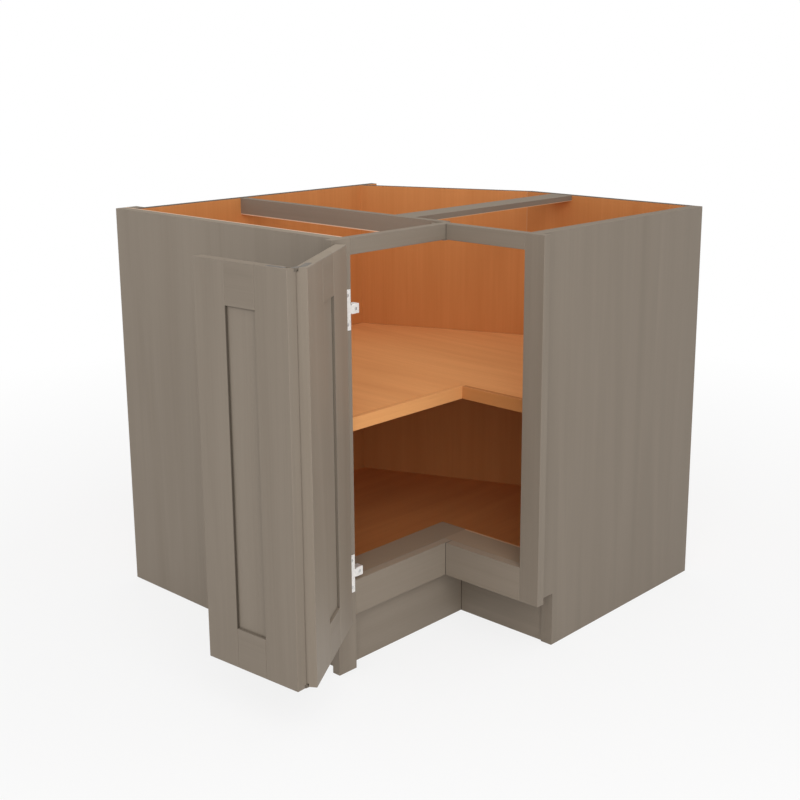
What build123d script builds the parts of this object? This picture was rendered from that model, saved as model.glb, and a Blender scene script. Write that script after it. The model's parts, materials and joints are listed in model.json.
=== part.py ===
from build123d import *
import math
import os

os.makedirs("parts", exist_ok=True)

# Corner base cabinet with two wings and a two-leaf folding door, shown with the door open.
# Millimetres from the room corner on the floor: +X along the right wall, -Y along the left wall, +Z up.

# Whole cabinet
HEIGHT = 876.3
LEFT_DEPTH = 716.0
RIGHT_DEPTH = 608.0
LEFT_OPENING = 268.0
RIGHT_OPENING = 203.0
EASE = 0.8

# End panels and backs
END_T = 28.0
TOE_NOTCH = 57.0
BACK_T = 19.0
BACK_STAND_OFF = 30.0
LEFT_BACK_END = 132.0
DIAGONAL_T = 16.0
DIAGONAL_LEFT = 192.0
DIAGONAL_RIGHT = 462.0
BATTEN_W = 27.0
HANG_RAIL_DROP = 86.3
HANG_RAIL_H = 90.0
WALL_HOLE_R = 3.0
STUD_SPACING = 406.4

# Face frame
FRAME_T = 20.0
STILE_W = 48.0
STILE_LAP = 20.0
TOP_RAIL_H = 32.3
BOTTOM_RAIL_H = 73.0
FRAME_FOOT = 117.0

# Ledges, kick boards and floor
LEDGE_T = 12.0
LEFT_LEDGE_D = 69.0
RIGHT_LEDGE_BEARING = 10.0
KICK_T = 19.0
LEFT_KICK_SET = 24.3
RIGHT_KICK_SET = 81.0
FLOOR_TOP = 108.0
FLOOR_T = 12.0
FLOOR_GAP = 0.5
CLEAT_T = 19.0
CLEAT_H = 38.0

# Shelf
SHELF_TOP = 512.0
SHELF_T = 19.0
SHELF_GAP = 1.0
SHELF_LEFT_SET = 36.5
SHELF_RIGHT_SET = 95.0
EDGING_T = 12.0
EDGING_H = 28.0
PEG_R = 2.5
PEG_IN = 9.0
PEG_OUT = 12.0
LEFT_PEG_INSET = 110.0
RIGHT_PEG_INSET = 90.0
PEG_CLEAR = 0.05

# Top stretchers, set back from the wings' fronts
STRETCHER_BACK = 36.5
STRETCHER_T = 18.5
STRETCHER_H = 38.3
BRACE_LEFT = 178.0
BRACE_W = 60.5
BRACE_T = 12.8
BLOCK_LEG = 35.0
BLOCK_DROP = 4.0

# Folding door
DOOR_T = 22.0
DOOR_GAP = 4.0
DOOR_TOP_GAP = 6.3
DOOR_FOOT_LAP = 1.0
DOOR_OVERLAY = 22.0
DOOR_REVEAL = 1.0
FOLD_GAP = 1.0
FOLD_TAIL = 4.0
MEMBER_W = 78.0
DOOR_PANEL_T = 12.0
TONGUE = 8.0
GROOVE_PLAY = 0.1
GROOVE_END = 1.0
OPEN_ANGLE = 148.0
FOLD_ANGLE = 28.0

# Main hinges on the left stile
UPPER_HINGE_DROP = 130.0
LOWER_HINGE_RISE = 91.0
HINGE_H = 79.0
PLATE_T = 1.6
PLATE_MARGIN = 4.0
PLATE_INSET = 3.0
RETURN_D = 15.0
RETURN_H = 16.0
EDGE_PLATE_W = 18.0
PIN_OUT = 13.0
PIN_SIDE = 9.5
PIN_R = 2.0
PIN_HEAD_R = 3.2
PIN_HEAD_H = 1.5
PIN_FIXED_CLEAR = 0.03
PIN_TURN_CLEAR = 0.06
KNUCKLE_R = 4.5
KNUCKLE_MIDDLE = 27.4
KNUCKLE_GAP = 0.3
WEB_T = 3.0
BLOCK_W = 18.4
BLOCK_H = 19.0
BLOCK_PROUD = 1.2

# Knife hinges at the fold
ARM_T = 3.0
ARM_GAP = 0.3
ARM_HALF = 6.0
ARM_EYE_R = 5.0
ARM_KNEE = 16.0
ARM_REACH = 48.0
ARM_CLEAR = 0.05
RELIEF_R = 6.6
RELIEF_EXTRA = 0.3

# Screws
SCREW_R = 1.75
SCREW_HEAD_R = 3.4
SCREW_HEAD_H = 1.6
SCREW_LENGTH = 14.0
SCREW_CLEAR = 0.05
SCREW_PITCH = 56.0

# Planes of the case that everything else is set from
left_run = RIGHT_DEPTH + LEFT_OPENING + STILE_W - STILE_LAP
right_run = LEFT_DEPTH + RIGHT_OPENING + STILE_W - STILE_LAP
left_outer = -left_run
left_inner = left_outer + END_T
right_inner = right_run - END_T
back_x = BACK_STAND_OFF + BACK_T
back_y = -BACK_T
frame_back_x = LEFT_DEPTH - FRAME_T
frame_back_y = FRAME_T - RIGHT_DEPTH
left_stile_outer = left_outer - STILE_LAP
left_stile_inner = left_stile_outer + STILE_W
right_stile_outer = right_run + STILE_LAP
right_stile_inner = right_stile_outer - STILE_W
rail_top = HEIGHT - TOP_RAIL_H
opening_bottom = FRAME_FOOT + BOTTOM_RAIL_H
kick_top = opening_bottom - LEDGE_T
left_kick_front = LEFT_DEPTH - LEFT_KICK_SET
left_kick_back = left_kick_front - KICK_T
right_kick_front = RIGHT_KICK_SET - RIGHT_DEPTH
right_kick_back = right_kick_front + KICK_T
floor_bottom = FLOOR_TOP - FLOOR_T
shelf_bottom = SHELF_TOP - SHELF_T
shelf_front_x = LEFT_DEPTH - SHELF_LEFT_SET
shelf_front_y = SHELF_RIGHT_SET - RIGHT_DEPTH
stretcher_back = STRETCHER_BACK - RIGHT_DEPTH
stretcher_front = stretcher_back - STRETCHER_T
brace_left = LEFT_DEPTH - BRACE_LEFT
hang_rail_z = HEIGHT - HANG_RAIL_DROP
door_top = HEIGHT - DOOR_TOP_GAP
door_bottom = FRAME_FOOT - DOOR_FOOT_LAP
upper_hinge_z = door_top - UPPER_HINGE_DROP
lower_hinge_z = door_bottom + LOWER_HINGE_RISE

# The diagonal back: its run along X and Y, and what a square gap becomes along Y
diagonal_dx = DIAGONAL_RIGHT - back_x
diagonal_dy = DIAGONAL_LEFT - BACK_T
diagonal_skew = math.hypot(diagonal_dx, diagonal_dy) / diagonal_dx

# Hinge pin, leaf A measured from the pin, and the fold axis
pin_x = LEFT_DEPTH + PIN_OUT
edge_y = left_stile_inner - DOOR_OVERLAY
pin_y = edge_y - PIN_SIDE
a_edge = PIN_SIDE
a_inner = PIN_OUT - DOOR_GAP
a_front = a_inner - DOOR_T
a_middle = (a_inner + a_front) / 2
fold_u = -RIGHT_DEPTH - DOOR_GAP - DOOR_T - pin_y
a_end = fold_u - FOLD_GAP
b_start = -FOLD_TAIL
b_end = right_stile_outer - DOOR_REVEAL - (pin_x - a_front)
b_middle = DOOR_T / 2
half_hinge = HINGE_H / 2

# Each leaf's plane: X along the leaf, Y towards the side that faces in when the door is shut
open_turn = math.radians(OPEN_ANGLE)
fold_turn = math.radians(OPEN_ANGLE + FOLD_ANGLE)
leaf_a = Plane((pin_x, pin_y, 0), x_dir=(math.sin(open_turn), math.cos(open_turn), 0), z_dir=(0, 0, 1))
fold_point = leaf_a.from_local_coords(Vector(fold_u, a_front, 0))
leaf_b = Plane(fold_point, x_dir=(math.cos(fold_turn), -math.sin(fold_turn), 0), z_dir=(0, 0, 1))


def block(xs, ys, zs, mode=Mode.ADD):
    """A box between two values on each axis of the part's plane."""
    with Locations(((xs[0] + xs[1]) / 2, (ys[0] + ys[1]) / 2, (zs[0] + zs[1]) / 2)):
        Box(xs[1] - xs[0], ys[1] - ys[0], zs[1] - zs[0], mode=mode)


def board(xs, ys, zs):
    """A board with all its edges eased."""
    block(xs, ys, zs)
    chamfer(edges(), length=EASE)


def rod(plane, radius, length, mode=Mode.ADD):
    """A round rod that starts at a plane and runs along its Z."""
    with Locations(plane):
        Cylinder(radius, length, align=(Align.CENTER, Align.CENTER, Align.MIN), mode=mode)


def screws(planes, grow=0.0, mode=Mode.ADD):
    """Countersunk screws with their heads flush with each plane, driven against its Z."""
    top = (Align.CENTER, Align.CENTER, Align.MAX)
    with Locations(*planes):
        Cone(SCREW_R + grow, SCREW_HEAD_R + grow, SCREW_HEAD_H, align=top, mode=mode)
        Cylinder(SCREW_R + grow, SCREW_LENGTH + grow, align=top, mode=mode)


def flat_plate(points, z_low, thickness):
    """A flat board with a given outline."""
    with BuildSketch(Plane.XY.offset(z_low)) as outline:
        with BuildLine():
            Polyline(*points, close=True)
        make_face()
    extrude(outline.sketch, amount=thickness)


def case_outline(front_x, front_y, gap):
    """The plan inside the case, a gap clear of its walls, with a notched front and a cut back corner."""
    skew = gap * diagonal_skew
    corner_x = back_x + (diagonal_dy + skew - gap) * diagonal_dx / diagonal_dy
    corner_y = -DIAGONAL_LEFT + gap * diagonal_dy / diagonal_dx - skew
    return [
        (back_x + gap, left_inner + gap),
        (front_x, left_inner + gap),
        (front_x, front_y),
        (right_inner - gap, front_y),
        (right_inner - gap, back_y - gap),
        (corner_x, back_y - gap),
        (back_x + gap, corner_y),
    ]


# Shelf pegs: each plane lies on a wall and faces into the case
peg_z = shelf_bottom - PEG_R
left_end_pegs = [
    Plane((back_x + LEFT_PEG_INSET, left_inner, peg_z), z_dir=(0, 1, 0)),
    Plane((shelf_front_x - LEFT_PEG_INSET, left_inner, peg_z), z_dir=(0, 1, 0)),
]
right_end_pegs = [
    Plane((right_inner, back_y - RIGHT_PEG_INSET, peg_z), z_dir=(-1, 0, 0)),
    Plane((right_inner, shelf_front_y + RIGHT_PEG_INSET, peg_z), z_dir=(-1, 0, 0)),
]
left_back_pegs = [Plane((back_x, left_inner / 2, peg_z), z_dir=(1, 0, 0))]
right_back_pegs = [Plane(((DIAGONAL_RIGHT + right_inner) / 2, back_y, peg_z), z_dir=(0, -1, 0))]


def peg_holes(planes):
    """Blind holes for shelf pegs."""
    for plane in planes:
        rod(plane.offset(-PEG_IN - EASE), PEG_R + PEG_CLEAR, PEG_IN + 2 * EASE, mode=Mode.SUBTRACT)


def stud_marks(low, high):
    """Places a stud spacing apart, as many as a back's length takes, centred on it."""
    count = int((high - low) / STUD_SPACING) + 1
    first = (low + high - (count - 1) * STUD_SPACING) / 2
    return [first + number * STUD_SPACING for number in range(count)]


def wall_holes(length):
    """The hang rail's row of wall screw holes, through from the wall."""
    for mark in stud_marks(left_inner, -LEFT_BACK_END):
        rod(Plane((0, mark, hang_rail_z), z_dir=(1, 0, 0)), WALL_HOLE_R, length, mode=Mode.SUBTRACT)


# End panels
with BuildPart() as left_end_panel:
    board((0, frame_back_x), (left_outer, left_inner), (0, HEIGHT))
    peg_holes(left_end_pegs)
left_end_panel.part.label = "left_end_panel"
export_step(left_end_panel.part, "parts/left_end_panel.step")

with BuildPart() as right_end_panel:
    board((right_inner, right_run), (frame_back_y, 0), (0, HEIGHT))
    notch_y = (frame_back_y - EASE, frame_back_y + TOE_NOTCH)
    block((right_inner - EASE, right_run + EASE), notch_y, (-EASE, FRAME_FOOT), mode=Mode.SUBTRACT)
    peg_holes(right_end_pegs)
right_end_panel.part.label = "right_end_panel"
export_step(right_end_panel.part, "parts/right_end_panel.step")

# Backs, with the back corner cut off by the diagonal
with BuildPart() as left_back_panel:
    block((BACK_STAND_OFF, back_x), (left_inner, -LEFT_BACK_END), (0, HEIGHT))
    peg_holes(left_back_pegs)
    wall_holes(back_x + EASE)
left_back_panel.part.label = "left_back_panel"
export_step(left_back_panel.part, "parts/left_back_panel.step")

with BuildPart() as right_back_panel:
    block((DIAGONAL_RIGHT, right_inner), (back_y, 0), (0, HEIGHT))
    peg_holes(right_back_pegs)
right_back_panel.part.label = "right_back_panel"
export_step(right_back_panel.part, "parts/right_back_panel.step")

with BuildPart() as diagonal_back_panel:
    diagonal_step = DIAGONAL_T * diagonal_skew
    diagonal_corners = [
        (back_x, -DIAGONAL_LEFT),
        (DIAGONAL_RIGHT, back_y),
        (DIAGONAL_RIGHT, back_y + diagonal_step),
        (back_x, diagonal_step - DIAGONAL_LEFT),
    ]
    flat_plate(diagonal_corners, 0, HEIGHT)
diagonal_back_panel.part.label = "diagonal_back_panel"
export_step(diagonal_back_panel.part, "parts/diagonal_back_panel.step")

# Batten and hang rail that hold the left back off the wall
with BuildPart() as left_back_batten:
    block((0, BACK_STAND_OFF), (left_inner, left_inner + BATTEN_W), (0, HEIGHT))
left_back_batten.part.label = "left_back_batten"
export_step(left_back_batten.part, "parts/left_back_batten.step")

with BuildPart() as hang_rail:
    rail_z = (hang_rail_z - HANG_RAIL_H / 2, hang_rail_z + HANG_RAIL_H / 2)
    block((0, BACK_STAND_OFF), (left_inner + BATTEN_W, -LEFT_BACK_END), rail_z)
    wall_holes(BACK_STAND_OFF + EASE)
hang_rail.part.label = "hang_rail"
export_step(hang_rail.part, "parts/hang_rail.step")

# Kick boards
with BuildPart() as left_kick_board:
    block((left_kick_back, left_kick_front), (left_inner, right_kick_back), (0, kick_top))
left_kick_board.part.label = "left_kick_board"
export_step(left_kick_board.part, "parts/left_kick_board.step")

with BuildPart() as right_kick_board:
    block((left_kick_front, right_inner), (right_kick_front, right_kick_back), (0, kick_top))
right_kick_board.part.label = "right_kick_board"
export_step(right_kick_board.part, "parts/right_kick_board.step")

# Ledges that lie on the kick boards, level with the bottom rails
with BuildPart() as left_ledge:
    ledge_back_y = right_kick_front + RIGHT_LEDGE_BEARING
    block((frame_back_x - LEFT_LEDGE_D, frame_back_x), (left_inner, ledge_back_y), (kick_top, opening_bottom))
left_ledge.part.label = "left_ledge"
export_step(left_ledge.part, "parts/left_ledge.step")

with BuildPart() as right_ledge:
    block((frame_back_x, right_inner), (frame_back_y, ledge_back_y), (kick_top, opening_bottom))
right_ledge.part.label = "right_ledge"
export_step(right_ledge.part, "parts/right_ledge.step")

# Floor on its cleats
with BuildPart() as floor_panel:
    flat_plate(case_outline(left_kick_back, right_kick_back, FLOOR_GAP), floor_bottom, FLOOR_T)
floor_panel.part.label = "floor_panel"
export_step(floor_panel.part, "parts/floor_panel.step")

cleat_z = (floor_bottom - CLEAT_H, floor_bottom)

with BuildPart() as left_floor_cleat:
    block((back_x, left_kick_back), (left_inner, left_inner + CLEAT_T), cleat_z)
left_floor_cleat.part.label = "left_floor_cleat"
export_step(left_floor_cleat.part, "parts/left_floor_cleat.step")

with BuildPart() as right_floor_cleat:
    block((right_inner - CLEAT_T, right_inner), (right_kick_back, back_y), cleat_z)
right_floor_cleat.part.label = "right_floor_cleat"
export_step(right_floor_cleat.part, "parts/right_floor_cleat.step")

with BuildPart() as back_floor_cleat:
    block((DIAGONAL_RIGHT, right_inner - CLEAT_T), (back_y - CLEAT_T, back_y), cleat_z)
back_floor_cleat.part.label = "back_floor_cleat"
export_step(back_floor_cleat.part, "parts/back_floor_cleat.step")

# Shelf with its two front edgings, on pegs
shelf_board_x = shelf_front_x - EDGING_T
shelf_board_y = shelf_front_y + EDGING_T
edging_z = (SHELF_TOP - EDGING_H, SHELF_TOP)

with BuildPart() as shelf:
    flat_plate(case_outline(shelf_board_x, shelf_board_y, SHELF_GAP), shelf_bottom, SHELF_T)
shelf.part.label = "shelf"
export_step(shelf.part, "parts/shelf.step")

with BuildPart() as shelf_left_edging:
    board((shelf_board_x, shelf_front_x), (left_inner + SHELF_GAP, shelf_board_y), edging_z)
shelf_left_edging.part.label = "shelf_left_edging"
export_step(shelf_left_edging.part, "parts/shelf_left_edging.step")

with BuildPart() as shelf_right_edging:
    board((shelf_front_x, right_inner - SHELF_GAP), (shelf_front_y, shelf_board_y), edging_z)
shelf_right_edging.part.label = "shelf_right_edging"
export_step(shelf_right_edging.part, "parts/shelf_right_edging.step")

with BuildPart() as shelf_pegs:
    for spot in left_end_pegs + right_end_pegs + left_back_pegs + right_back_pegs:
        rod(spot.offset(-PEG_IN), PEG_R, PEG_IN + PEG_OUT)
shelf_pegs.part.label = "shelf_pegs"
export_step(shelf_pegs.part, "parts/shelf_pegs.step")

# Top stretcher on edge, flat brace and the glue block behind the frame's corner
with BuildPart() as left_stretcher:
    block((back_x, frame_back_x), (stretcher_front, stretcher_back), (HEIGHT - STRETCHER_H, HEIGHT))
left_stretcher.part.label = "left_stretcher"
export_step(left_stretcher.part, "parts/left_stretcher.step")

with BuildPart() as right_brace:
    block((brace_left, brace_left + BRACE_W), (stretcher_back, back_y), (HEIGHT - BRACE_T, HEIGHT))
right_brace.part.label = "right_brace"
export_step(right_brace.part, "parts/right_brace.step")

with BuildPart() as corner_block:
    block_corners = [
        (frame_back_x, stretcher_front),
        (frame_back_x - BLOCK_LEG, stretcher_front),
        (frame_back_x, stretcher_front - BLOCK_LEG),
    ]
    flat_plate(block_corners, rail_top, TOP_RAIL_H - BLOCK_DROP)
corner_block.part.label = "corner_block"
export_step(corner_block.part, "parts/corner_block.step")

# Face frame: the stiles cover the end panels, the left rails run through the inner corner
hinge_heights = (lower_hinge_z, upper_hinge_z)
frame_screw_y = (left_stile_inner + edge_y) / 2
frame_screw_spots = []
for height in hinge_heights:
    for side in (-1, 1):
        screw_z = height + side * SCREW_PITCH / 2
        frame_screw_spots.append(Plane((LEFT_DEPTH + PLATE_T, frame_screw_y, screw_z), z_dir=(1, 0, 0)))

with BuildPart() as left_stile:
    board((frame_back_x, LEFT_DEPTH), (left_stile_outer, left_stile_inner), (0, HEIGHT))
    screws(frame_screw_spots, SCREW_CLEAR, Mode.SUBTRACT)
left_stile.part.label = "left_stile"
export_step(left_stile.part, "parts/left_stile.step")

with BuildPart() as right_stile:
    board((right_stile_inner, right_stile_outer), (-RIGHT_DEPTH, frame_back_y), (FRAME_FOOT, HEIGHT))
right_stile.part.label = "right_stile"
export_step(right_stile.part, "parts/right_stile.step")

with BuildPart() as left_top_rail:
    board((frame_back_x, LEFT_DEPTH), (left_stile_inner, frame_back_y), (rail_top, HEIGHT))
left_top_rail.part.label = "left_top_rail"
export_step(left_top_rail.part, "parts/left_top_rail.step")

with BuildPart() as right_top_rail:
    board((LEFT_DEPTH, right_stile_inner), (-RIGHT_DEPTH, frame_back_y), (rail_top, HEIGHT))
right_top_rail.part.label = "right_top_rail"
export_step(right_top_rail.part, "parts/right_top_rail.step")

with BuildPart() as left_bottom_rail:
    board((frame_back_x, LEFT_DEPTH), (left_stile_inner, frame_back_y), (FRAME_FOOT, opening_bottom))
left_bottom_rail.part.label = "left_bottom_rail"
export_step(left_bottom_rail.part, "parts/left_bottom_rail.step")

with BuildPart() as right_bottom_rail:
    board((LEFT_DEPTH, right_stile_inner), (-RIGHT_DEPTH, frame_back_y), (FRAME_FOOT, opening_bottom))
right_bottom_rail.part.label = "right_bottom_rail"
export_step(right_bottom_rail.part, "parts/right_bottom_rail.step")


# Main hinges, frame side: a plate with a tab round the stile's inner edge, two webs with knuckles, and a block
block_front = LEFT_DEPTH + BLOCK_PROUD
block_y = (left_stile_inner + PLATE_T, left_stile_inner + PLATE_T + BLOCK_W)
block_screw_spots = []
for height in hinge_heights:
    block_screw_spots.append(Plane((block_front, sum(block_y) / 2, height), z_dir=(1, 0, 0)))


def hinge_frame_plate(height):
    """The fixed half of a main hinge."""
    zs = (height - half_hinge, height + half_hinge)
    return_y = (left_stile_inner, left_stile_inner + PLATE_T)
    return_z = (height - RETURN_H / 2, height + RETURN_H / 2)
    plate_y = (left_stile_outer + PLATE_MARGIN, left_stile_inner - PLATE_INSET)
    block((LEFT_DEPTH, LEFT_DEPTH + PLATE_T), plate_y, zs)
    block((LEFT_DEPTH, LEFT_DEPTH + PLATE_T), (plate_y[1], return_y[1]), return_z)
    block((LEFT_DEPTH - RETURN_D, LEFT_DEPTH + PLATE_T), return_y, return_z)
    knuckle_start = KNUCKLE_MIDDLE / 2 + KNUCKLE_GAP
    for low in (zs[0], height + knuckle_start):
        tall = half_hinge - knuckle_start
        block((LEFT_DEPTH, pin_x), (pin_y - WEB_T / 2, pin_y + WEB_T / 2), (low, low + tall))
        rod(Plane((pin_x, pin_y, low)), KNUCKLE_R, tall)
    rod(Plane((pin_x, pin_y, zs[0])), PIN_R + PIN_FIXED_CLEAR, HINGE_H, mode=Mode.SUBTRACT)
    screws(frame_screw_spots, SCREW_CLEAR, Mode.SUBTRACT)


def hinge_block(height):
    """The adjuster block beside the plate, bored for its screw."""
    block((LEFT_DEPTH - RETURN_D, block_front), block_y, (height - BLOCK_H / 2, height + BLOCK_H / 2))
    chamfer(edges(), length=EASE)
    screws(block_screw_spots, SCREW_CLEAR, Mode.SUBTRACT)


with BuildPart() as upper_hinge_frame_plate:
    hinge_frame_plate(upper_hinge_z)
upper_hinge_frame_plate.part.label = "upper_hinge_frame_plate"
export_step(upper_hinge_frame_plate.part, "parts/upper_hinge_frame_plate.step")

with BuildPart() as lower_hinge_frame_plate:
    hinge_frame_plate(lower_hinge_z)
lower_hinge_frame_plate.part.label = "lower_hinge_frame_plate"
export_step(lower_hinge_frame_plate.part, "parts/lower_hinge_frame_plate.step")

with BuildPart() as upper_hinge_block:
    hinge_block(upper_hinge_z)
upper_hinge_block.part.label = "upper_hinge_block"
export_step(upper_hinge_block.part, "parts/upper_hinge_block.step")

with BuildPart() as lower_hinge_block:
    hinge_block(lower_hinge_z)
lower_hinge_block.part.label = "lower_hinge_block"
export_step(lower_hinge_block.part, "parts/lower_hinge_block.step")

with BuildPart() as hinge_pins:
    for height in hinge_heights:
        rod(Plane((pin_x, pin_y, height - half_hinge)), PIN_R, HINGE_H)
        rod(Plane((pin_x, pin_y, height + half_hinge)), PIN_HEAD_R, PIN_HEAD_H)
hinge_pins.part.label = "hinge_pins"
export_step(hinge_pins.part, "parts/hinge_pins.step")

with BuildPart() as frame_plate_screws:
    screws(frame_screw_spots)
frame_plate_screws.part.label = "frame_plate_screws"
export_step(frame_plate_screws.part, "parts/frame_plate_screws.step")

with BuildPart() as block_screws:
    screws(block_screw_spots)
block_screws.part.label = "block_screws"
export_step(block_screws.part, "parts/block_screws.step")


# Main hinges, door side: a plate on the leaf's edge with an arm to the turning knuckle
edge_screw_spots = []
for height in hinge_heights:
    for side in (-1, 1):
        screw_at = (a_edge - PLATE_T, a_middle, height + side * SCREW_PITCH / 2)
        edge_screw_spots.append(Plane(screw_at, z_dir=(-1, 0, 0)))


def hinge_door_plate(height):
    """The turning half of a main hinge, in leaf A's plane."""
    zs = (height - half_hinge, height + half_hinge)
    middle_z = (height - KNUCKLE_MIDDLE / 2, height + KNUCKLE_MIDDLE / 2)
    plate_v = (a_middle - EDGE_PLATE_W / 2, a_middle + EDGE_PLATE_W / 2)
    block((a_edge - PLATE_T, a_edge), plate_v, zs)
    block((0, a_edge), (-WEB_T / 2, WEB_T / 2), middle_z)
    rod(Plane((0, 0, middle_z[0])), KNUCKLE_R, KNUCKLE_MIDDLE)
    rod(Plane((0, 0, middle_z[0])), PIN_R + PIN_TURN_CLEAR, KNUCKLE_MIDDLE, mode=Mode.SUBTRACT)
    screws(edge_screw_spots, SCREW_CLEAR, Mode.SUBTRACT)


with BuildPart(leaf_a) as upper_hinge_door_plate:
    hinge_door_plate(upper_hinge_z)
upper_hinge_door_plate.part.label = "upper_hinge_door_plate"
export_step(upper_hinge_door_plate.part, "parts/upper_hinge_door_plate.step")

with BuildPart(leaf_a) as lower_hinge_door_plate:
    hinge_door_plate(lower_hinge_z)
lower_hinge_door_plate.part.label = "lower_hinge_door_plate"
export_step(lower_hinge_door_plate.part, "parts/lower_hinge_door_plate.step")

with BuildPart(leaf_a) as door_plate_screws:
    screws(edge_screw_spots)
door_plate_screws.part.label = "door_plate_screws"
export_step(door_plate_screws.part, "parts/door_plate_screws.step")


# Knife hinges: arm A lies flush in the leaf's edge, arm B passes under it at the eye
arm_depth = 2 * ARM_T + ARM_GAP
arm_screw_near = ARM_KNEE + ARM_HALF
arm_screw_far = ARM_REACH - ARM_HALF / 2


def arm_layer(leaf, eye, run, middle, z_low, thickness, with_eye, grow=0.0, mode=Mode.ADD):
    """One flat layer of a knife arm: a straight bar, and for the eye's layer a neck to the fold axis."""
    knee = (eye[0] + run * ARM_KNEE, middle)
    tip = (eye[0] + run * ARM_REACH, middle)
    layers = [(knee, ARM_HALF, tip, ARM_HALF)]
    if with_eye:
        layers.append((eye, ARM_EYE_R, knee, ARM_HALF))
    for first, first_r, second, second_r in layers:
        with BuildSketch(leaf.offset(z_low)) as outline:
            with Locations(first):
                Circle(first_r + grow)
            with Locations(second):
                Circle(second_r + grow)
            make_hull()
        extrude(outline.sketch, amount=thickness, mode=mode)


def arm_screw_spots(eye, run, middle, z, up):
    """Two screws along an arm's bar."""
    spots = []
    for reach in (arm_screw_near, arm_screw_far):
        spots.append(Plane((eye[0] + run * reach, middle, z), z_dir=(0, 0, up)))
    return spots


eye_a = (fold_u, a_front)
eye_b = (0.0, 0.0)
arm_a_screw_spots = arm_screw_spots(eye_a, -1, a_middle, door_top, 1)
arm_a_screw_spots += arm_screw_spots(eye_a, -1, a_middle, door_bottom, -1)
arm_b_screw_spots = arm_screw_spots(eye_b, 1, b_middle, door_top, 1)
arm_b_screw_spots += arm_screw_spots(eye_b, 1, b_middle, door_bottom, -1)


def arm_a(z_low):
    """Arm A, a single layer."""
    arm_layer(leaf_a, eye_a, -1, a_middle, z_low, ARM_T, True)
    rod(Plane((*eye_a, z_low)), PIN_R + PIN_FIXED_CLEAR, ARM_T, mode=Mode.SUBTRACT)
    screws(arm_a_screw_spots, SCREW_CLEAR, Mode.SUBTRACT)


def arm_b(z_bar, z_eye):
    """Arm B, a thick bar whose eye is only its inner layer."""
    arm_layer(leaf_b, eye_b, 1, b_middle, z_bar, arm_depth, False)
    arm_layer(leaf_b, eye_b, 1, b_middle, z_eye, ARM_T, True)
    rod(Plane((*eye_b, z_eye)), PIN_R + PIN_TURN_CLEAR, ARM_T, mode=Mode.SUBTRACT)
    screws(arm_b_screw_spots, SCREW_CLEAR, Mode.SUBTRACT)


def arm_housing(leaf, eye, run, middle, depth, spots):
    """What a leaf's fold stile loses to its two arms, their screws and the other leaf's eyes."""
    deep = arm_depth + RELIEF_EXTRA
    for arm_z, relief_z in ((door_top - depth, door_top - deep), (door_bottom, door_bottom)):
        arm_layer(leaf, eye, run, middle, arm_z, depth, True, ARM_CLEAR, Mode.SUBTRACT)
        rod(Plane((*eye, relief_z)), RELIEF_R, deep, mode=Mode.SUBTRACT)
    screws(spots, SCREW_CLEAR, Mode.SUBTRACT)


with BuildPart(leaf_a) as upper_arm_a:
    arm_a(door_top - ARM_T)
upper_arm_a.part.label = "upper_arm_a"
export_step(upper_arm_a.part, "parts/upper_arm_a.step")

with BuildPart(leaf_a) as lower_arm_a:
    arm_a(door_bottom)
lower_arm_a.part.label = "lower_arm_a"
export_step(lower_arm_a.part, "parts/lower_arm_a.step")

with BuildPart(leaf_a) as fold_pins:
    for pin_low in (door_top - arm_depth, door_bottom):
        rod(Plane((*eye_a, pin_low)), PIN_R, arm_depth)
fold_pins.part.label = "fold_pins"
export_step(fold_pins.part, "parts/fold_pins.step")

with BuildPart(leaf_a) as arm_a_screws:
    screws(arm_a_screw_spots)
arm_a_screws.part.label = "arm_a_screws"
export_step(arm_a_screws.part, "parts/arm_a_screws.step")

with BuildPart(leaf_b) as upper_arm_b:
    arm_b(door_top - arm_depth, door_top - arm_depth)
upper_arm_b.part.label = "upper_arm_b"
export_step(upper_arm_b.part, "parts/upper_arm_b.step")

with BuildPart(leaf_b) as lower_arm_b:
    arm_b(door_bottom, door_bottom + ARM_T + ARM_GAP)
lower_arm_b.part.label = "lower_arm_b"
export_step(lower_arm_b.part, "parts/lower_arm_b.step")

with BuildPart(leaf_b) as arm_b_screws:
    screws(arm_b_screw_spots)
arm_b_screws.part.label = "arm_b_screws"
export_step(arm_b_screws.part, "parts/arm_b_screws.step")


# Door leaves: grooved stiles, rails with tongues, and a flat panel in the grooves
groove_half = DOOR_PANEL_T / 2 + GROOVE_PLAY
groove_depth = TONGUE + GROOVE_END


def leaf_stile(us, vs, groove_side):
    """An upright member, grooved along the side that faces the panel."""
    zs = (door_bottom, door_top)
    middle = sum(vs) / 2
    board(us, vs, zs)
    if groove_side > 0:
        groove_u = (us[1] - groove_depth, us[1] + EASE)
    else:
        groove_u = (us[0] - EASE, us[0] + groove_depth)
    block(groove_u, (middle - groove_half, middle + groove_half), zs, mode=Mode.SUBTRACT)


def leaf_rail(us, vs, z_low, groove_side):
    """A cross member with tongues in the stiles, grooved along the side that faces the panel."""
    zs = (z_low, z_low + MEMBER_W)
    middle = sum(vs) / 2
    board(us, vs, zs)
    block((us[0] - TONGUE, us[1] + TONGUE), (middle - DOOR_PANEL_T / 2, middle + DOOR_PANEL_T / 2), zs)
    if groove_side > 0:
        groove_z = (zs[1] - groove_depth, zs[1] + EASE)
    else:
        groove_z = (zs[0] - EASE, zs[0] + groove_depth)
    groove_u = (us[0] - TONGUE - EASE, us[1] + TONGUE + EASE)
    block(groove_u, (middle - groove_half, middle + groove_half), groove_z, mode=Mode.SUBTRACT)


def leaf_panel(us, vs):
    """The flat panel, a tongue's depth into the grooves all round."""
    middle = sum(vs) / 2
    zs = (door_bottom + MEMBER_W - TONGUE, door_top - MEMBER_W + TONGUE)
    block((us[0] - TONGUE, us[1] + TONGUE), (middle - DOOR_PANEL_T / 2, middle + DOOR_PANEL_T / 2), zs)


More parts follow.
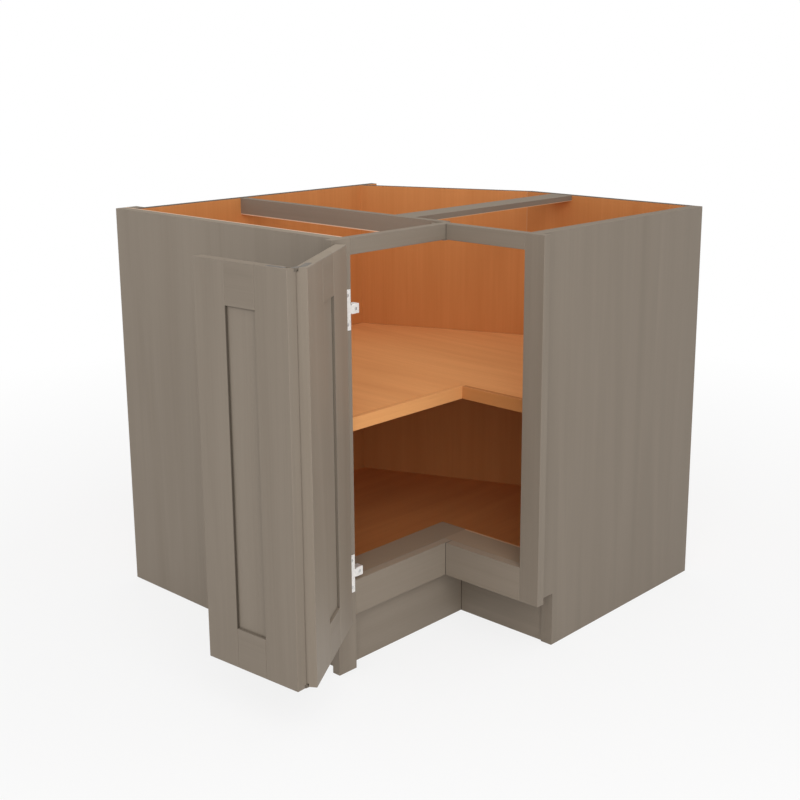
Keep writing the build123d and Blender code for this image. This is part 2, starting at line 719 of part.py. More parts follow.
# Both panels are of one width, so leaf A, the wider leaf, has the wider stiles
a_vs = (a_front, a_inner)
b_vs = (0.0, DOOR_T)
b_panel_us = (b_start + MEMBER_W, b_end - MEMBER_W)
panel_half = (b_panel_us[1] - b_panel_us[0]) / 2
a_panel_middle = (a_edge + a_end) / 2
a_panel_us = (a_panel_middle - panel_half, a_panel_middle + panel_half)

with BuildPart(leaf_a) as a_hinge_stile:
    leaf_stile((a_edge, a_panel_us[0]), a_vs, 1)
    screws(edge_screw_spots, SCREW_CLEAR, Mode.SUBTRACT)
a_hinge_stile.part.label = "a_hinge_stile"
export_step(a_hinge_stile.part, "parts/a_hinge_stile.step")

with BuildPart(leaf_a) as a_fold_stile:
    leaf_stile((a_panel_us[1], a_end), a_vs, -1)
    arm_housing(leaf_a, eye_a, -1, a_middle, ARM_T, arm_a_screw_spots)
a_fold_stile.part.label = "a_fold_stile"
export_step(a_fold_stile.part, "parts/a_fold_stile.step")

with BuildPart(leaf_a) as a_top_rail:
    leaf_rail(a_panel_us, a_vs, door_top - MEMBER_W, -1)
a_top_rail.part.label = "a_top_rail"
export_step(a_top_rail.part, "parts/a_top_rail.step")

with BuildPart(leaf_a) as a_bottom_rail:
    leaf_rail(a_panel_us, a_vs, door_bottom, 1)
a_bottom_rail.part.label = "a_bottom_rail"
export_step(a_bottom_rail.part, "parts/a_bottom_rail.step")

with BuildPart(leaf_a) as a_panel:
    leaf_panel(a_panel_us, a_vs)
a_panel.part.label = "a_panel"
export_step(a_panel.part, "parts/a_panel.step")

with BuildPart(leaf_b) as b_fold_stile:
    leaf_stile((b_start, b_panel_us[0]), b_vs, 1)
    arm_housing(leaf_b, eye_b, 1, b_middle, arm_depth, arm_b_screw_spots)
b_fold_stile.part.label = "b_fold_stile"
export_step(b_fold_stile.part, "parts/b_fold_stile.step")

with BuildPart(leaf_b) as b_free_stile:
    leaf_stile((b_panel_us[1], b_end), b_vs, -1)
b_free_stile.part.label = "b_free_stile"
export_step(b_free_stile.part, "parts/b_free_stile.step")

with BuildPart(leaf_b) as b_top_rail:
    leaf_rail(b_panel_us, b_vs, door_top - MEMBER_W, -1)
b_top_rail.part.label = "b_top_rail"
export_step(b_top_rail.part, "parts/b_top_rail.step")

with BuildPart(leaf_b) as b_bottom_rail:
    leaf_rail(b_panel_us, b_vs, door_bottom, 1)
b_bottom_rail.part.label = "b_bottom_rail"
export_step(b_bottom_rail.part, "parts/b_bottom_rail.step")

with BuildPart(leaf_b) as b_panel:
    leaf_panel(b_panel_us, b_vs)
b_panel.part.label = "b_panel"
export_step(b_panel.part, "parts/b_panel.step")
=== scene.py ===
import json
import math

import bmesh
import bpy
from mathutils import Matrix, Vector


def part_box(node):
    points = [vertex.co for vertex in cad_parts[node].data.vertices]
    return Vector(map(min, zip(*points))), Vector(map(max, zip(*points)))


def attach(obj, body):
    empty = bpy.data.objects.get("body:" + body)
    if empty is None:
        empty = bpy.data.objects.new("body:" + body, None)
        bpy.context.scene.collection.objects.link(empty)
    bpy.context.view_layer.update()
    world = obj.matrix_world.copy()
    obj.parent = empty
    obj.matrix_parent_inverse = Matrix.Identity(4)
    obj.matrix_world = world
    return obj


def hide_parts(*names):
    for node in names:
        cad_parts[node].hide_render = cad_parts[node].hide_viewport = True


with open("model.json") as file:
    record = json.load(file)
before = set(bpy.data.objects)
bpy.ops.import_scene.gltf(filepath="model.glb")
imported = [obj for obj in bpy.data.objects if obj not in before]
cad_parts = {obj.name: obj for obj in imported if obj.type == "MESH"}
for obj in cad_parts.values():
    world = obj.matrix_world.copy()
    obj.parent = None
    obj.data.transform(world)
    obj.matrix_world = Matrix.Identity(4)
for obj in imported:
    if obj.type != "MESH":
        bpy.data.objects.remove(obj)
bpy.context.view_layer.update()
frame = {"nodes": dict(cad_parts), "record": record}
nodes = frame["nodes"]

# End panels
# Two sides of 28 mm plywood, painted taupe outside and printed like maple inside.
# They stand behind the face frame's stiles, and the right one is notched for toes.
X_AXIS, Y_AXIS, Z_AXIS = 0, 1, 2


def srgb(red, green, blue):
    """A colour picked on screen, 0 to 255, as Blender's linear values."""
    channels = []
    for value in (red / 255, green / 255, blue / 255):
        channels.append(value / 12.92 if value <= 0.04045 else ((value + 0.055) / 1.055) ** 2.4)
    return (*channels, 1.0)


def add(tree, kind, sockets=None, **settings):
    """A node with its settings, whose sockets take values or links."""
    node = tree.nodes.new(kind)
    for name, value in settings.items():
        setattr(node, name, value)
    for name, value in (sockets or {}).items():
        if isinstance(value, bpy.types.NodeSocket):
            tree.links.new(value, node.inputs[name])
        else:
            node.inputs[name].default_value = value
    return node


def sum_of(tree, operation, first, second):
    """One sum on two numbers or links."""
    return add(tree, "ShaderNodeMath", {0: first, 1: second}, operation=operation).outputs[0]


def new_finish(name):
    """An empty material: its tree, its shader and the object's own coordinates."""
    finish = bpy.data.materials.new(name)
    finish.use_nodes = True
    tree = finish.node_tree
    coords = add(tree, "ShaderNodeTexCoord").outputs["Object"]
    return finish, tree, tree.nodes["Principled BSDF"], coords


def grain(tree, coords, run, length, width, detail, bend=0.0):
    """Noise drawn out along the grain: run is an angle in plan, or None where the grain stands upright."""
    if run is None:
        stretch, turn = (width, width, length), 0.0
    else:
        stretch, turn = (length, width, width), run
    place = {"Vector": coords, "Rotation": (0, 0, turn), "Scale": stretch}
    mapped = add(tree, "ShaderNodeMapping", place, vector_type="TEXTURE").outputs[0]
    shape = {"Vector": mapped, "Scale": 1.0, "Detail": detail, "Roughness": 0.6, "Distortion": bend}
    return add(tree, "ShaderNodeTexNoise", shape).outputs["Fac"]


def between(tree, factor, low, high, out_low, out_high):
    """A factor's range mapped to another."""
    ends = {"Value": factor, "From Min": low, "From Max": high, "To Min": out_low, "To Max": out_high}
    return add(tree, "ShaderNodeMapRange", ends).outputs[0]


def mix(tree, factor, first, second):
    """One colour over another."""
    return add(tree, "ShaderNodeMix", {0: factor, 6: first, 7: second}, data_type="RGBA").outputs[2]


def past(tree, coords, axis, limit, above):
    """One on the side of a plane across an axis, and nought on the other."""
    place = add(tree, "ShaderNodeSeparateXYZ", {"Vector": coords}).outputs[axis]
    return sum_of(tree, "GREATER_THAN" if above else "LESS_THAN", place, limit)


LOOKS_UP = 0.9


def facing_up(tree):
    """One on faces that look up, and nought elsewhere."""
    normal = add(tree, "ShaderNodeNewGeometry").outputs["True Normal"]
    return past(tree, normal, Z_AXIS, LOOKS_UP, True)


PAINT_LIGHT = srgb(137, 126, 113)
PAINT_DARK = srgb(128, 117, 104)
# Faces that look up are painted lighter: painted light from above.
TOP_PAINTED_LIGHT = (1.48, 0.0)
SHEEN = 0.2
BUMP_STRENGTH = 0.35
PAINT_BUMP = 0.0003
PRINT_LIGHT = srgb(218, 149, 89)
PRINT_DARK = srgb(208, 139, 81)
PRINT_PORE = srgb(190, 121, 67)


def toned(colour, tone, warmth=0.0):
    """A colour made lighter or darker, and warmer by a share of red."""
    return (colour[0] * tone * (1 + warmth), colour[1] * tone, colour[2] * tone * (1 - warmth), 1.0)


def paint_layers(tree, coords, run, tone, top=TOP_PAINTED_LIGHT):
    """Taupe paint through which the wood's figure and grain just show, with faces that look up painted in
    their own tone and warmth: painted light, and a painted warm reflection where a warmth is given.
    """
    broad = grain(tree, coords, run, length=1.1, width=0.07, detail=2, bend=0.6)
    fine = grain(tree, coords, run, length=0.22, width=0.0035, detail=5)
    figure = sum_of(tree, "ADD", broad, sum_of(tree, "MULTIPLY", fine, 0.5))
    dark, light = toned(PAINT_DARK, tone), toned(PAINT_LIGHT, tone)
    colour = mix(tree, between(tree, figure, 0.5, 1.0, 0, 1), dark, light)
    top_light_tone, reflected_warmth = top
    # Painted light on faces that look up, and a painted warm reflection where a warmth is given.
    colour = mix(tree, facing_up(tree), colour, toned(PAINT_DARK, tone * top_light_tone, reflected_warmth))
    return colour, between(tree, fine, 0.3, 0.7, 0.46, 0.56), fine


def print_layers(tree, coords, run, light, dark):
    """Maple print: a soft figure, fine streaks and short pores."""
    figure = grain(tree, coords, run, length=0.75, width=0.045, detail=3, bend=0.4)
    streak = grain(tree, coords, run, length=0.3, width=0.005, detail=5)
    pore = grain(tree, coords, run, length=0.03, width=0.0011, detail=2)
    tone = sum_of(tree, "ADD", figure, sum_of(tree, "MULTIPLY", streak, 0.6))
    colour = mix(tree, between(tree, tone, 0.55, 1.05, 0, 1), dark, light)
    colour = mix(tree, between(tree, pore, 0.64, 0.8, 0, 0.4), colour, PRINT_PORE)
    return colour, between(tree, figure, 0.3, 0.7, 0.4, 0.5), streak


def finish_surface(tree, shader, colour, rough, height, depth):
    """Colour, a shallow bump, a low sheen, and a roughness that is dull on top edges."""
    shader.inputs["Specular IOR Level"].default_value = SHEEN
    rough = sum_of(tree, "MAXIMUM", rough, facing_up(tree))
    bump = add(tree, "ShaderNodeBump", {"Height": height, "Strength": BUMP_STRENGTH, "Distance": depth})
    tree.links.new(colour, shader.inputs["Base Color"])
    tree.links.new(rough, shader.inputs["Roughness"])
    tree.links.new(bump.outputs[0], shader.inputs["Normal"])


def dress(finish, *names):
    """One material on whole CAD nodes."""
    for name in names:
        for held in nodes[name].material_slots:
            held.material = finish


# Painted light: the left panel's paint is lighter, against the shade the door casts on it, and the right
# one's darker, where the lamp falls strongly.
LEFT_END_PAINTED_LIGHT = 1.13
RIGHT_END_PAINTED_SHADE = 0.95
SHEET_EDGE = srgb(240, 208, 180)
SHEET_T = 0.006
TOP_DEPTH = 0.001
SKIN = 0.0001
case_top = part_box("left_end_panel")[1][2]


def two_faced(name, tone, inside_planes, sheet_plane=None):
    """Paint outside, print past some planes, and the printed sheet's pale edge on top past one more."""
    finish, tree, shader, coords = new_finish(name)
    colour, rough, height = paint_layers(tree, coords, None, tone)
    if sheet_plane is not None:
        on_top = past(tree, coords, Z_AXIS, case_top - TOP_DEPTH, True)
        sheet = sum_of(tree, "MULTIPLY", past(tree, coords, *sheet_plane), on_top)
        colour = mix(tree, sheet, colour, SHEET_EDGE)
    maple = print_layers(tree, coords, None, PRINT_LIGHT, PRINT_DARK)[0]
    inside = 1.0
    for plane in inside_planes:
        inside = sum_of(tree, "MULTIPLY", past(tree, coords, *plane), inside)
    finish_surface(tree, shader, mix(tree, inside, colour, maple), rough, height, PAINT_BUMP)
    return finish


left_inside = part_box("left_end_panel")[1][1] - SKIN
left_sheet = (Y_AXIS, left_inside - SHEET_T, True)
left_end_paint = two_faced("left_end_finish", LEFT_END_PAINTED_LIGHT, [(Y_AXIS, left_inside, True)], left_sheet)
dress(left_end_paint, "left_end_panel")
right_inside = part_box("right_end_panel")[0][0] + SKIN
kick_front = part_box("right_kick_board")[0][1]
right_planes = [(X_AXIS, right_inside, False), (Y_AXIS, kick_front, True)]
dress(two_faced("right_end_finish", RIGHT_END_PAINTED_SHADE, right_planes), "right_end_panel")

# Backs
# Three panels of printed board that close the back, the middle one across the cut-off corner.
# Their sawn top edges are left bare, and have gone grey. The right one's edge is pale at the joint.
SAWN_LIGHT = srgb(122, 111, 99)
SAWN_DARK = srgb(102, 91, 80)
SAWN_FIBRE = 900.0
BARE_EDGE = srgb(208, 168, 132)
JOINT_W = 0.002
JOINT_SHARE = 0.5
PRINT_BUMP = 0.0002
BACK_TONE = 0.93
# Painted shade: the right back's print is darker, for the shade that falls on it beside the right stile.
RIGHT_BACK_PAINTED_SHADE = 0.85


def maple_print(name, run, light, dark, bare_above=None, joint=None):
    """Maple print, with a paler edge past a joint's plane and a bare sawn edge where the board ends."""
    finish, tree, shader, coords = new_finish(name)
    colour, rough, height = print_layers(tree, coords, run, light, dark)
    if joint is not None:
        pale = sum_of(tree, "MULTIPLY", past(tree, coords, *joint), JOINT_SHARE)
        colour = mix(tree, pale, colour, BARE_EDGE)
    if bare_above is not None:
        noise = {"Vector": coords, "Scale": SAWN_FIBRE, "Detail": 2.0}
        fibre = add(tree, "ShaderNodeTexNoise", noise).outputs["Fac"]
        sawn = mix(tree, between(tree, fibre, 0.3, 0.7, 0, 1), SAWN_DARK, SAWN_LIGHT)
        colour = mix(tree, past(tree, coords, Z_AXIS, bare_above, True), colour, sawn)
    finish_surface(tree, shader, colour, rough, height, PRINT_BUMP)
    return finish


def print_tones(tone):
    """The print's two colours, lighter or darker."""
    return toned(PRINT_LIGHT, tone), toned(PRINT_DARK, tone)


bare_above = case_top - SKIN
back_finish = maple_print("back_print", None, *print_tones(BACK_TONE), bare_above)
dress(back_finish, "left_back_panel", "diagonal_back_panel")
joint = (X_AXIS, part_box("right_back_panel")[0][0] + JOINT_W, False)
right_finish = maple_print("right_back_print", None, *print_tones(RIGHT_BACK_PAINTED_SHADE), bare_above, joint)
dress(right_finish, "right_back_panel")

# Batten and hang rail
# The batten at the end of the left back is painted, because its top shows. The pine rail behind the panel
# is bare and takes the wall screws. Both are glued to the panel and hold it off the wall.
ALONG_X = 0.0
ALONG_Y = math.pi / 2
PINE_LIGHT = srgb(206, 174, 130)
PINE_DARK = srgb(180, 146, 102)
PINE_BUMP = 0.0004


def bare_pine(name, run):
    """Unpainted pine with a straight grain."""
    finish, tree, shader, coords = new_finish(name)
    broad = grain(tree, coords, run, length=0.5, width=0.02, detail=3)
    fine = grain(tree, coords, run, length=0.15, width=0.002, detail=4)
    tone = sum_of(tree, "ADD", broad, fine)
    colour = mix(tree, between(tree, tone, 0.7, 1.3, 0, 1), PINE_DARK, PINE_LIGHT)
    finish_surface(tree, shader, colour, between(tree, fine, 0.3, 0.7, 0.55, 0.7), fine, PINE_BUMP)
    return finish


def taupe_paint(name, run, tone=1.0, strip=(), strip_colour=BARE_EDGE, top=TOP_PAINTED_LIGHT):
    """Taupe paint with the grain along the board, and a strip of another colour past some planes."""
    finish, tree, shader, coords = new_finish(name)
    colour, rough, height = paint_layers(tree, coords, run, tone, top)
    if strip:
        share = 1.0
        for plane in strip:
            share = sum_of(tree, "MULTIPLY", past(tree, coords, *plane), share)
        colour = mix(tree, share, colour, strip_colour)
    finish_surface(tree, shader, colour, rough, height, PAINT_BUMP)
    return finish


upright_paint = taupe_paint("paint_upright", None)
pine = bare_pine("pine_along_left_wing", ALONG_Y)
dress(upright_paint, "left_back_batten")
dress(pine, "hang_rail")

# Kick boards and ledges
# Painted boards under the face frame: two set back at the floor, and two flat ones that close the step
# up to the bottom rails. The right ledge's back edge is bare, and a dark line is painted along the corner's
# seams.
SEAM = srgb(84, 76, 65)
SEAM_W = 0.002
# Painted light: the left kick and the ledges are painted lighter, against the shade under the rails, and the
# ledges' tops warmer, as a painted reflection of the maple inside.
LEFT_KICK_PAINTED_LIGHT = 1.1
LEFT_LEDGE_PAINTED_LIGHT = 1.3
RIGHT_LEDGE_PAINTED_LIGHT = 1.5
LEDGE_TOP_REFLECTION = (1.0, 0.12)
LEDGE_BARE_W = 0.005
dress(taupe_paint("paint_left_kick", ALONG_Y, LEFT_KICK_PAINTED_LIGHT), "left_kick_board")
kick_seam = [(X_AXIS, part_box("right_kick_board")[0][0] + SEAM_W, False)]
right_kick_paint = taupe_paint("paint_right_kick", ALONG_X, strip=kick_seam, strip_colour=SEAM)
dress(right_kick_paint, "right_kick_board")
dress(taupe_paint("paint_left_ledge", ALONG_Y, LEFT_LEDGE_PAINTED_LIGHT, top=LEDGE_TOP_REFLECTION), "left_ledge")
ledge_bare = [(Y_AXIS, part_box("right_ledge")[1][1] - LEDGE_BARE_W, True)]
right_ledge_paint = taupe_paint("paint_right_ledge", ALONG_X, RIGHT_LEDGE_PAINTED_LIGHT, ledge_bare, top=LEDGE_TOP_REFLECTION)
dress(right_ledge_paint, "right_ledge")

# Floor and its cleats
# A printed panel lies on three pine cleats that are glued to the end panels and the right back.
# Painted light: the floor's print is lighter, to lift the shade inside the case.
FLOOR_PAINTED_LIGHT = 1.08
dress(maple_print("floor_print", ALONG_Y, *print_tones(FLOOR_PAINTED_LIGHT)), "floor_panel")
dress(pine, "right_floor_cleat")
dress(bare_pine("pine_along_right_wing", ALONG_X), "left_floor_cleat", "back_floor_cleat")

# Shelf
# A notched printed board with a deeper printed edging along both fronts, on six zinc-plated steel pegs.
# Its print and the left edging's are painted paler than the backs', as painted light from above, and the
# right edging darker, as painted shade.
EDGING_LIGHT = srgb(238, 172, 110)
EDGING_DARK = srgb(226, 158, 98)
SHELF_PAINTED_LIGHT = 1.06
RIGHT_EDGING_PAINTED_SHADE = 0.84
shelf_light, shelf_dark = toned(EDGING_LIGHT, SHELF_PAINTED_LIGHT), toned(EDGING_DARK, SHELF_PAINTED_LIGHT)
dress(maple_print("shelf_print", ALONG_X, shelf_light, shelf_dark), "shelf")
dress(maple_print("edging_print", ALONG_Y, EDGING_LIGHT, EDGING_DARK), "shelf_left_edging")
right_edging_finish = maple_print("right_edging_print", ALONG_X, *print_tones(RIGHT_EDGING_PAINTED_SHADE))
dress(right_edging_finish, "shelf_right_edging")


def plated(name, colour, cloud_colour, rough_low, rough_high, metal):
    """Plated steel with faint clouds in its polish."""
    finish, tree, shader, coords = new_finish(name)
    noise = {"Vector": coords, "Scale": 180.0, "Detail": 3.0}
    cloud = add(tree, "ShaderNodeTexNoise", noise).outputs["Fac"]
    tone = mix(tree, between(tree, cloud, 0.3, 0.7, 0, 1), colour, cloud_colour)
    bump = add(tree, "ShaderNodeBump", {"Height": cloud, "Strength": 0.15, "Distance": 0.0001})
    tree.links.new(tone, shader.inputs["Base Color"])
    tree.links.new(between(tree, cloud, 0.3, 0.7, rough_low, rough_high), shader.inputs["Roughness"])
    tree.links.new(bump.outputs[0], shader.inputs["Normal"])
    shader.inputs["Metallic"].default_value = metal
    return finish


zinc = plated("zinc_plate", srgb(214, 214, 212), srgb(200, 200, 198), 0.24, 0.36, metal=1.0)
dress(zinc, "shelf_pegs")

# Top stretcher, brace and corner block
# Painted strips that tie the top of the open case together: one on edge, one flat, and a glue block.
# The lower edges of the first two are bare, but not where the stretcher shows under the rails' corner.
# Painted light: the stretcher's paint is lighter, and its top lighter still.
STRETCHER_PAINTED_LIGHT = 1.2
STRETCHER_TOP_LIGHT = (1.2, 0.0)
STRETCHER_BARE_H = 0.002
STRETCHER_PAINTED_END = 0.06
BRACE_BARE_H = 0.0012
stretcher_low, stretcher_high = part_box("left_stretcher")
stretcher_bare = [(Z_AXIS, stretcher_low[2] + STRETCHER_BARE_H, False),
                  (X_AXIS, stretcher_high[0] - STRETCHER_PAINTED_END, False)]
stretcher_paint = taupe_paint("paint_stretcher", ALONG_X, STRETCHER_PAINTED_LIGHT, stretcher_bare, SHEET_EDGE,
                              STRETCHER_TOP_LIGHT)
dress(stretcher_paint, "left_stretcher")
brace_bare = [(Z_AXIS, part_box("right_brace")[0][2] + BRACE_BARE_H, False)]
dress(taupe_paint("paint_brace", ALONG_Y, strip=brace_bare), "right_brace")
dress(upright_paint, "corner_block")

# Face frame
# Painted hardwood: two stiles glued over the end panels, and rails that meet in the inner corner.
# Painted light: the left stile and the bottom rails are painted lighter and the right stile darker, and the
# bottom rails' tops lighter and warmer, as painted light with a painted warm reflection.
LEFT_STILE_PAINTED_LIGHT = 1.07
RIGHT_STILE_PAINTED_SHADE = 0.95
LEFT_RAIL_PAINTED_LIGHT = 1.16
RIGHT_RAIL_PAINTED_LIGHT = 1.14
BOTTOM_RAIL_TOP_LIGHT = (1.4, 0.05)
dress(taupe_paint("paint_left_stile", None, LEFT_STILE_PAINTED_LIGHT), "left_stile")
dress(taupe_paint("paint_right_stile", None, RIGHT_STILE_PAINTED_SHADE), "right_stile")
dress(taupe_paint("paint_left_top_rail", ALONG_Y), "left_top_rail")
rail_seam = [(X_AXIS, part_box("right_top_rail")[0][0] + SEAM_W, False)]
right_top_paint = taupe_paint("paint_right_top_rail", ALONG_X, strip=rail_seam, strip_colour=SEAM)
dress(right_top_paint, "right_top_rail")
left_rail_paint = taupe_paint("paint_left_bottom_rail", ALONG_Y, LEFT_RAIL_PAINTED_LIGHT, top=BOTTOM_RAIL_TOP_LIGHT)
dress(left_rail_paint, "left_bottom_rail")
right_rail_paint = taupe_paint("paint_right_bottom_rail", ALONG_X, RIGHT_RAIL_PAINTED_LIGHT, rail_seam, SEAM,
                               BOTTOM_RAIL_TOP_LIGHT)
dress(right_rail_paint, "right_bottom_rail")

# Main hinges
# Nickel-plated steel: a stamped plate and a cast block on the stile, and a plate on the leaf's edge,
# joined by a zinc-plated pin and held by countersunk screws with cross recesses.
nickel = plated("satin_nickel", srgb(246, 243, 239), srgb(232, 229, 225), 0.34, 0.46, metal=0.5)
ROLL_W = 0.0003
ROLL_SEGMENTS = 2
ROLL_FROM = math.radians(50)
MERGE_WITHIN = 0.000002
FLAT_WITHIN = math.radians(0.5)


def place_piece(name, shape, finish, body, slot, *replaced):
    """A finished shape as a piece of its own that rides on a body and stands for CAD nodes."""
    mesh = bpy.data.meshes.new(name)
    shape.to_mesh(mesh)
    shape.free()
    mesh.materials.append(finish)
    piece = bpy.data.objects.new(name, mesh)
    bpy.context.collection.objects.link(piece)
    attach(piece, body)
    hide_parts(*replaced)
    return piece


def rolled(node, finish, body, slot):
    """A stamped or cast piece with its CAD shape and rolled edges."""
    shape = bmesh.new()
    shape.from_mesh(nodes[node].data)
    bmesh.ops.remove_doubles(shape, verts=shape.verts, dist=MERGE_WITHIN)
    bmesh.ops.dissolve_limit(shape, angle_limit=FLAT_WITHIN, verts=shape.verts, edges=shape.edges)
    piece = place_piece(node + "_rolled", shape, finish, body, slot, node)
    bevel = piece.modifiers.new("rolled_edges", "BEVEL")
    bevel.width = ROLL_W
    bevel.segments = ROLL_SEGMENTS
    bevel.limit_method = "ANGLE"
    bevel.angle_limit = ROLL_FROM


for level in ("upper", "lower"):
    rolled(level + "_hinge_frame_plate", nickel, "base", "nickel")
    rolled(level + "_hinge_block", nickel, "base", "nickel")
    rolled(level + "_hinge_door_plate", nickel, "leaf_a", "nickel")
dress(zinc, "hinge_pins")

SCREW_R = 0.00175
HEAD_R = 0.0034
HEAD_H = 0.0016
SCREW_LENGTH = 0.014
RECESS_R = 0.0022
RECESS_HALF = 0.0004
RECESS_DEPTH = 0.0009
HEAD_CROWN = 0.0002
SAME_WAY = 0.99


def facing(shape, way, within):
    """The faces whose normals lie along a direction, near the screw's axis."""
    shape.normal_update()
    found = []
    for face in shape.faces:
        if face.normal.dot(Vector(way)) > SAME_WAY and face.calc_center_median().xy.length < within:
            found.append(face)
    return found


def push_out(shape, faces, move):
    """Faces drawn out along a move."""
    drawn = bmesh.ops.extrude_face_region(shape, geom=faces)["geom"]
    corners = [item for item in drawn if isinstance(item, bmesh.types.BMVert)]
    bmesh.ops.translate(shape, verts=corners, vec=move)


def cross_screw():
    """A countersunk screw with its head at the origin, facing up, and a cross sunk in the head."""
    shape = bmesh.new()
    bmesh.ops.create_cone(shape, cap_ends=True, segments=24, radius1=SCREW_R, radius2=HEAD_R, depth=HEAD_H,
                          matrix=Matrix.Translation((0, 0, -HEAD_H / 2)))
    push_out(shape, facing(shape, (0, 0, -1), HEAD_R), (0, 0, HEAD_H - SCREW_LENGTH))
    head = facing(shape, (0, 0, 1), HEAD_R)
    bmesh.ops.inset_region(shape, faces=head, thickness=HEAD_R - RECESS_R, depth=HEAD_CROWN)
    for way in ((1, 0, 0), (-1, 0, 0), (0, 1, 0), (0, -1, 0)):
        crown = facing(shape, (0, 0, 1), RECESS_R)
        edges = {edge for face in crown for edge in face.edges}
        corners = {corner for face in crown for corner in face.verts}
        bmesh.ops.bisect_plane(shape, geom=[*crown, *edges, *corners], dist=1e-7,
                               plane_co=Vector(way) * RECESS_HALF, plane_no=way)
    cross = []
    for face in facing(shape, (0, 0, 1), RECESS_R):
        middle = face.calc_center_median()
        if min(abs(middle.x), abs(middle.y)) < RECESS_HALF:
            cross.append(face)
    push_out(shape, cross, (0, 0, -RECESS_DEPTH))
    return shape


def screw_set(node, finish, body, slot, places):
    """One screw at each place, standing for a CAD node of screws."""
    model = bpy.data.meshes.new(node + "_model")
    single = cross_screw()
    single.to_mesh(model)
    single.free()
    shape = bmesh.new()
    for place in places:
        before = set(shape.verts)
        shape.from_mesh(model)
        bmesh.ops.transform(shape, matrix=place, verts=[v for v in shape.verts if v not in before])
    bpy.data.meshes.remove(model)
    place_piece(node + "_cross", shape, finish, body, slot, node)


def screw_place(at, way):
    """Where a screw's head lies and which way it faces."""
    return Matrix.Translation(at) @ Vector(way).to_track_quat("Z", "Y").to_matrix().to_4x4()


HINGE_HEIGHTS = (0.740, 0.207)
HINGE_SCREW_HALF = 0.028
PLATE_FRONT = 0.7176
PLATE_SCREW_Y = -0.887
BLOCK_FRONT = 0.7172
BLOCK_SCREW_Y = -0.8652
plate_places = []
block_places = []
for height in HINGE_HEIGHTS:
    block_places.append(screw_place((BLOCK_FRONT, BLOCK_SCREW_Y, height), (1, 0, 0)))
    for rise in (-HINGE_SCREW_HALF, HINGE_SCREW_HALF):
        plate_places.append(screw_place((PLATE_FRONT, PLATE_SCREW_Y, height + rise), (1, 0, 0)))
screw_set("frame_plate_screws", zinc, "base", "bright_steel", plate_places)
screw_set("block_screws", zinc, "base", "bright_steel", block_places)

# Each leaf's own axes: X along the leaf, Y across it
OPEN_ANGLE = 148.0
FOLD_ANGLE = 28.0
EDGE_SCREW_U = 0.0079
EDGE_SCREW_V = -0.002
joints = {row["name"]: row for row in frame["record"]["behaviour"]["joints"]}
pin_at = Vector((*joints["door_hinge"]["pos_m"][:2], 0))
fold_at = Vector((*joints["door_fold"]["pos_m"][:2], 0))
leaf_a_run = math.radians(90 - OPEN_ANGLE)
leaf_b_run = math.radians(-OPEN_ANGLE - FOLD_ANGLE)
leaf_a_axes = Matrix.Translation(pin_at) @ Matrix.Rotation(leaf_a_run, 4, "Z")
leaf_b_axes = Matrix.Translation(fold_at) @ Matrix.Rotation(leaf_b_run, 4, "Z")
edge_places = []
for height in HINGE_HEIGHTS:
    for rise in (-HINGE_SCREW_HALF, HINGE_SCREW_HALF):
        edge_place = screw_place((EDGE_SCREW_U, EDGE_SCREW_V, height + rise), (-1, 0, 0))
        edge_places.append(leaf_a_axes @ edge_place)
screw_set("door_plate_screws", zinc, "leaf_a", "bright_steel", edge_places)

# Door leaves
# Two shaker leaves, each with grooved stiles, tongued rails and a flat panel, painted taupe.
# Shade is painted darker on the walls where the frame steps down to the panel and round the panel's edge, and
# thinly on leaf A's fold end.
PAINTED_SHADE = srgb(66, 59, 50)
PANEL_SHADE_W = 0.004
DOOR_BOTTOM = 0.116
DOOR_TOP = 0.870
MEMBER_W = 0.078
EASED = 0.0009
A_END = 0.2718
END_SHADE = 0.12
A_PANEL_US = (0.105, 0.177)
B_PANEL_US = (0.074, 0.146)
# Painted light: leaf A's boards are painted lighter, against the shade the case casts on them, and leaf B's a
# little darker.
A_PAINTED_LIGHT = (1.2, 1.12, 1.13)
B_PAINTED_SHADE = (0.96, 0.96, 0.96)
A_SHADE = 0.55
B_SHADE = 0.85


def leaf_paint(name, at, run, upright, panel_us, is_panel, tone, shade):
    """Taupe paint in a leaf's own axes, with painted shade on the walls of its recess, round the panel's edge
    and on leaf A's fold end.
    """
    finish, tree, shader, coords = new_finish(name)
    turned = {"Vector": coords, "Location": at, "Rotation": (0, 0, run)}
    own = add(tree, "ShaderNodeMapping", turned, vector_type="TEXTURE").outputs[0]
    colour, rough, height = paint_layers(tree, own, None if upright else ALONG_X, tone)
    parts = add(tree, "ShaderNodeSeparateXYZ", {"Vector": own})
    depths = []
    for axis, low, high in ((X_AXIS, *panel_us), (Z_AXIS, DOOR_BOTTOM + MEMBER_W, DOOR_TOP - MEMBER_W)):
        middle = (low + high) / 2
        off_centre = sum_of(tree, "ABSOLUTE", sum_of(tree, "SUBTRACT", parts.outputs[axis], middle), 0.0)
        depths.append(sum_of(tree, "SUBTRACT", (high - low) / 2, off_centre))
    inside = sum_of(tree, "MINIMUM", *depths)
    # Painted shade: darker round the panel's edge, on the recess walls and on leaf A's fold end.
    if is_panel:
        share = between(tree, inside, 0.0, PANEL_SHADE_W, shade, 0.0)
    else:
        on_walls = between(tree, inside, -EASED, -EASED / 2, 0.0, shade)
        on_end = sum_of(tree, "MULTIPLY", past(tree, own, X_AXIS, A_END, True), END_SHADE)
        share = sum_of(tree, "MAXIMUM", on_walls, on_end)
    finish_surface(tree, shader, mix(tree, share, colour, PAINTED_SHADE), rough, height, PAINT_BUMP)
    return finish


